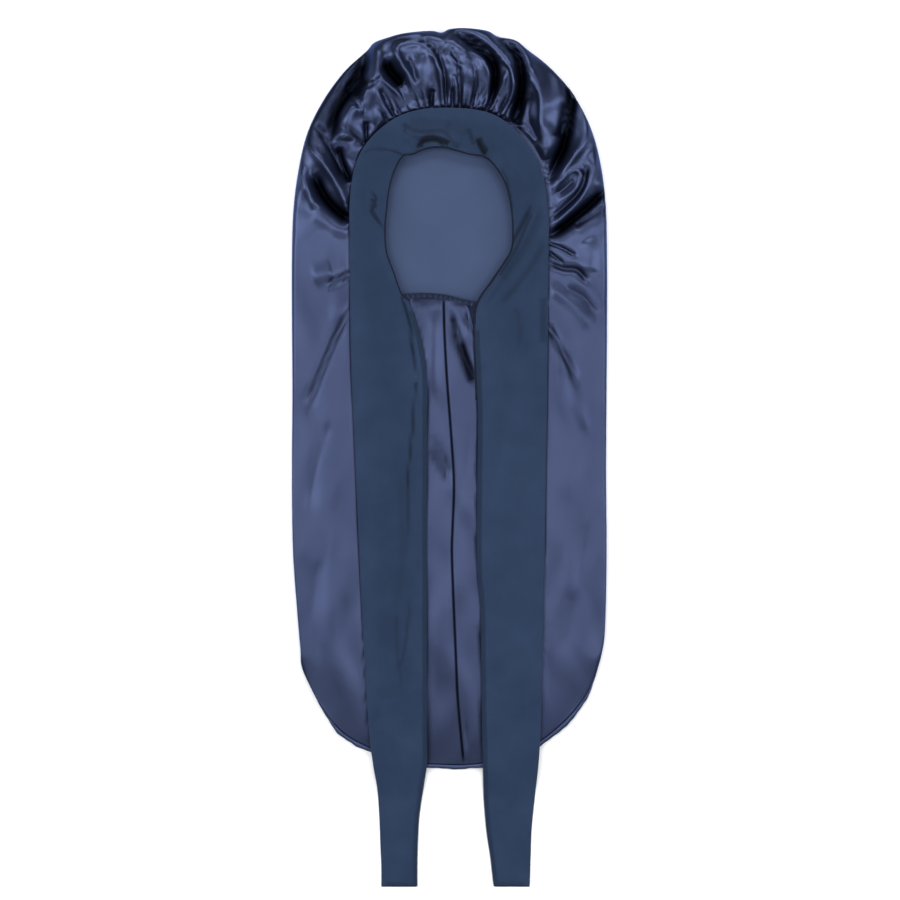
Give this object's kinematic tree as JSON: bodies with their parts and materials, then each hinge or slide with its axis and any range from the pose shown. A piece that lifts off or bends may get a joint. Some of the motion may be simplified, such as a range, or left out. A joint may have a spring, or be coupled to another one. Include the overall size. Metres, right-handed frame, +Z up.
{
  "type": "sleep bonnet",
  "caption": "Extra-long satin bonnet bag lying flat, with a gathered crown, an open face and a wide stretch band that ends in two flat ties.",
  "frame": {"origin": "on the surface the bonnet lies on, under the middle of its outline with the ties", "axes": "+X to the right of the face opening seen from above, +Y from the ties towards the crown, +Z up"},
  "size_m": [0.3165, 0.86, 0.0305],
  "materials": {
    "satin": "glossy woven satin",
    "knit": "matte stretch knit",
    "thread": "overlocked edge"
  },
  "bodies": {
    "root": {"bag_back": "satin", "bag_fold": "satin", "bag_front": "satin", "bottom_seam": "satin", "neck_edge": "thread", "tie_band": "knit", "tie_end_left": "knit", "tie_end_right": "knit"}
  },
  "joints": []
}
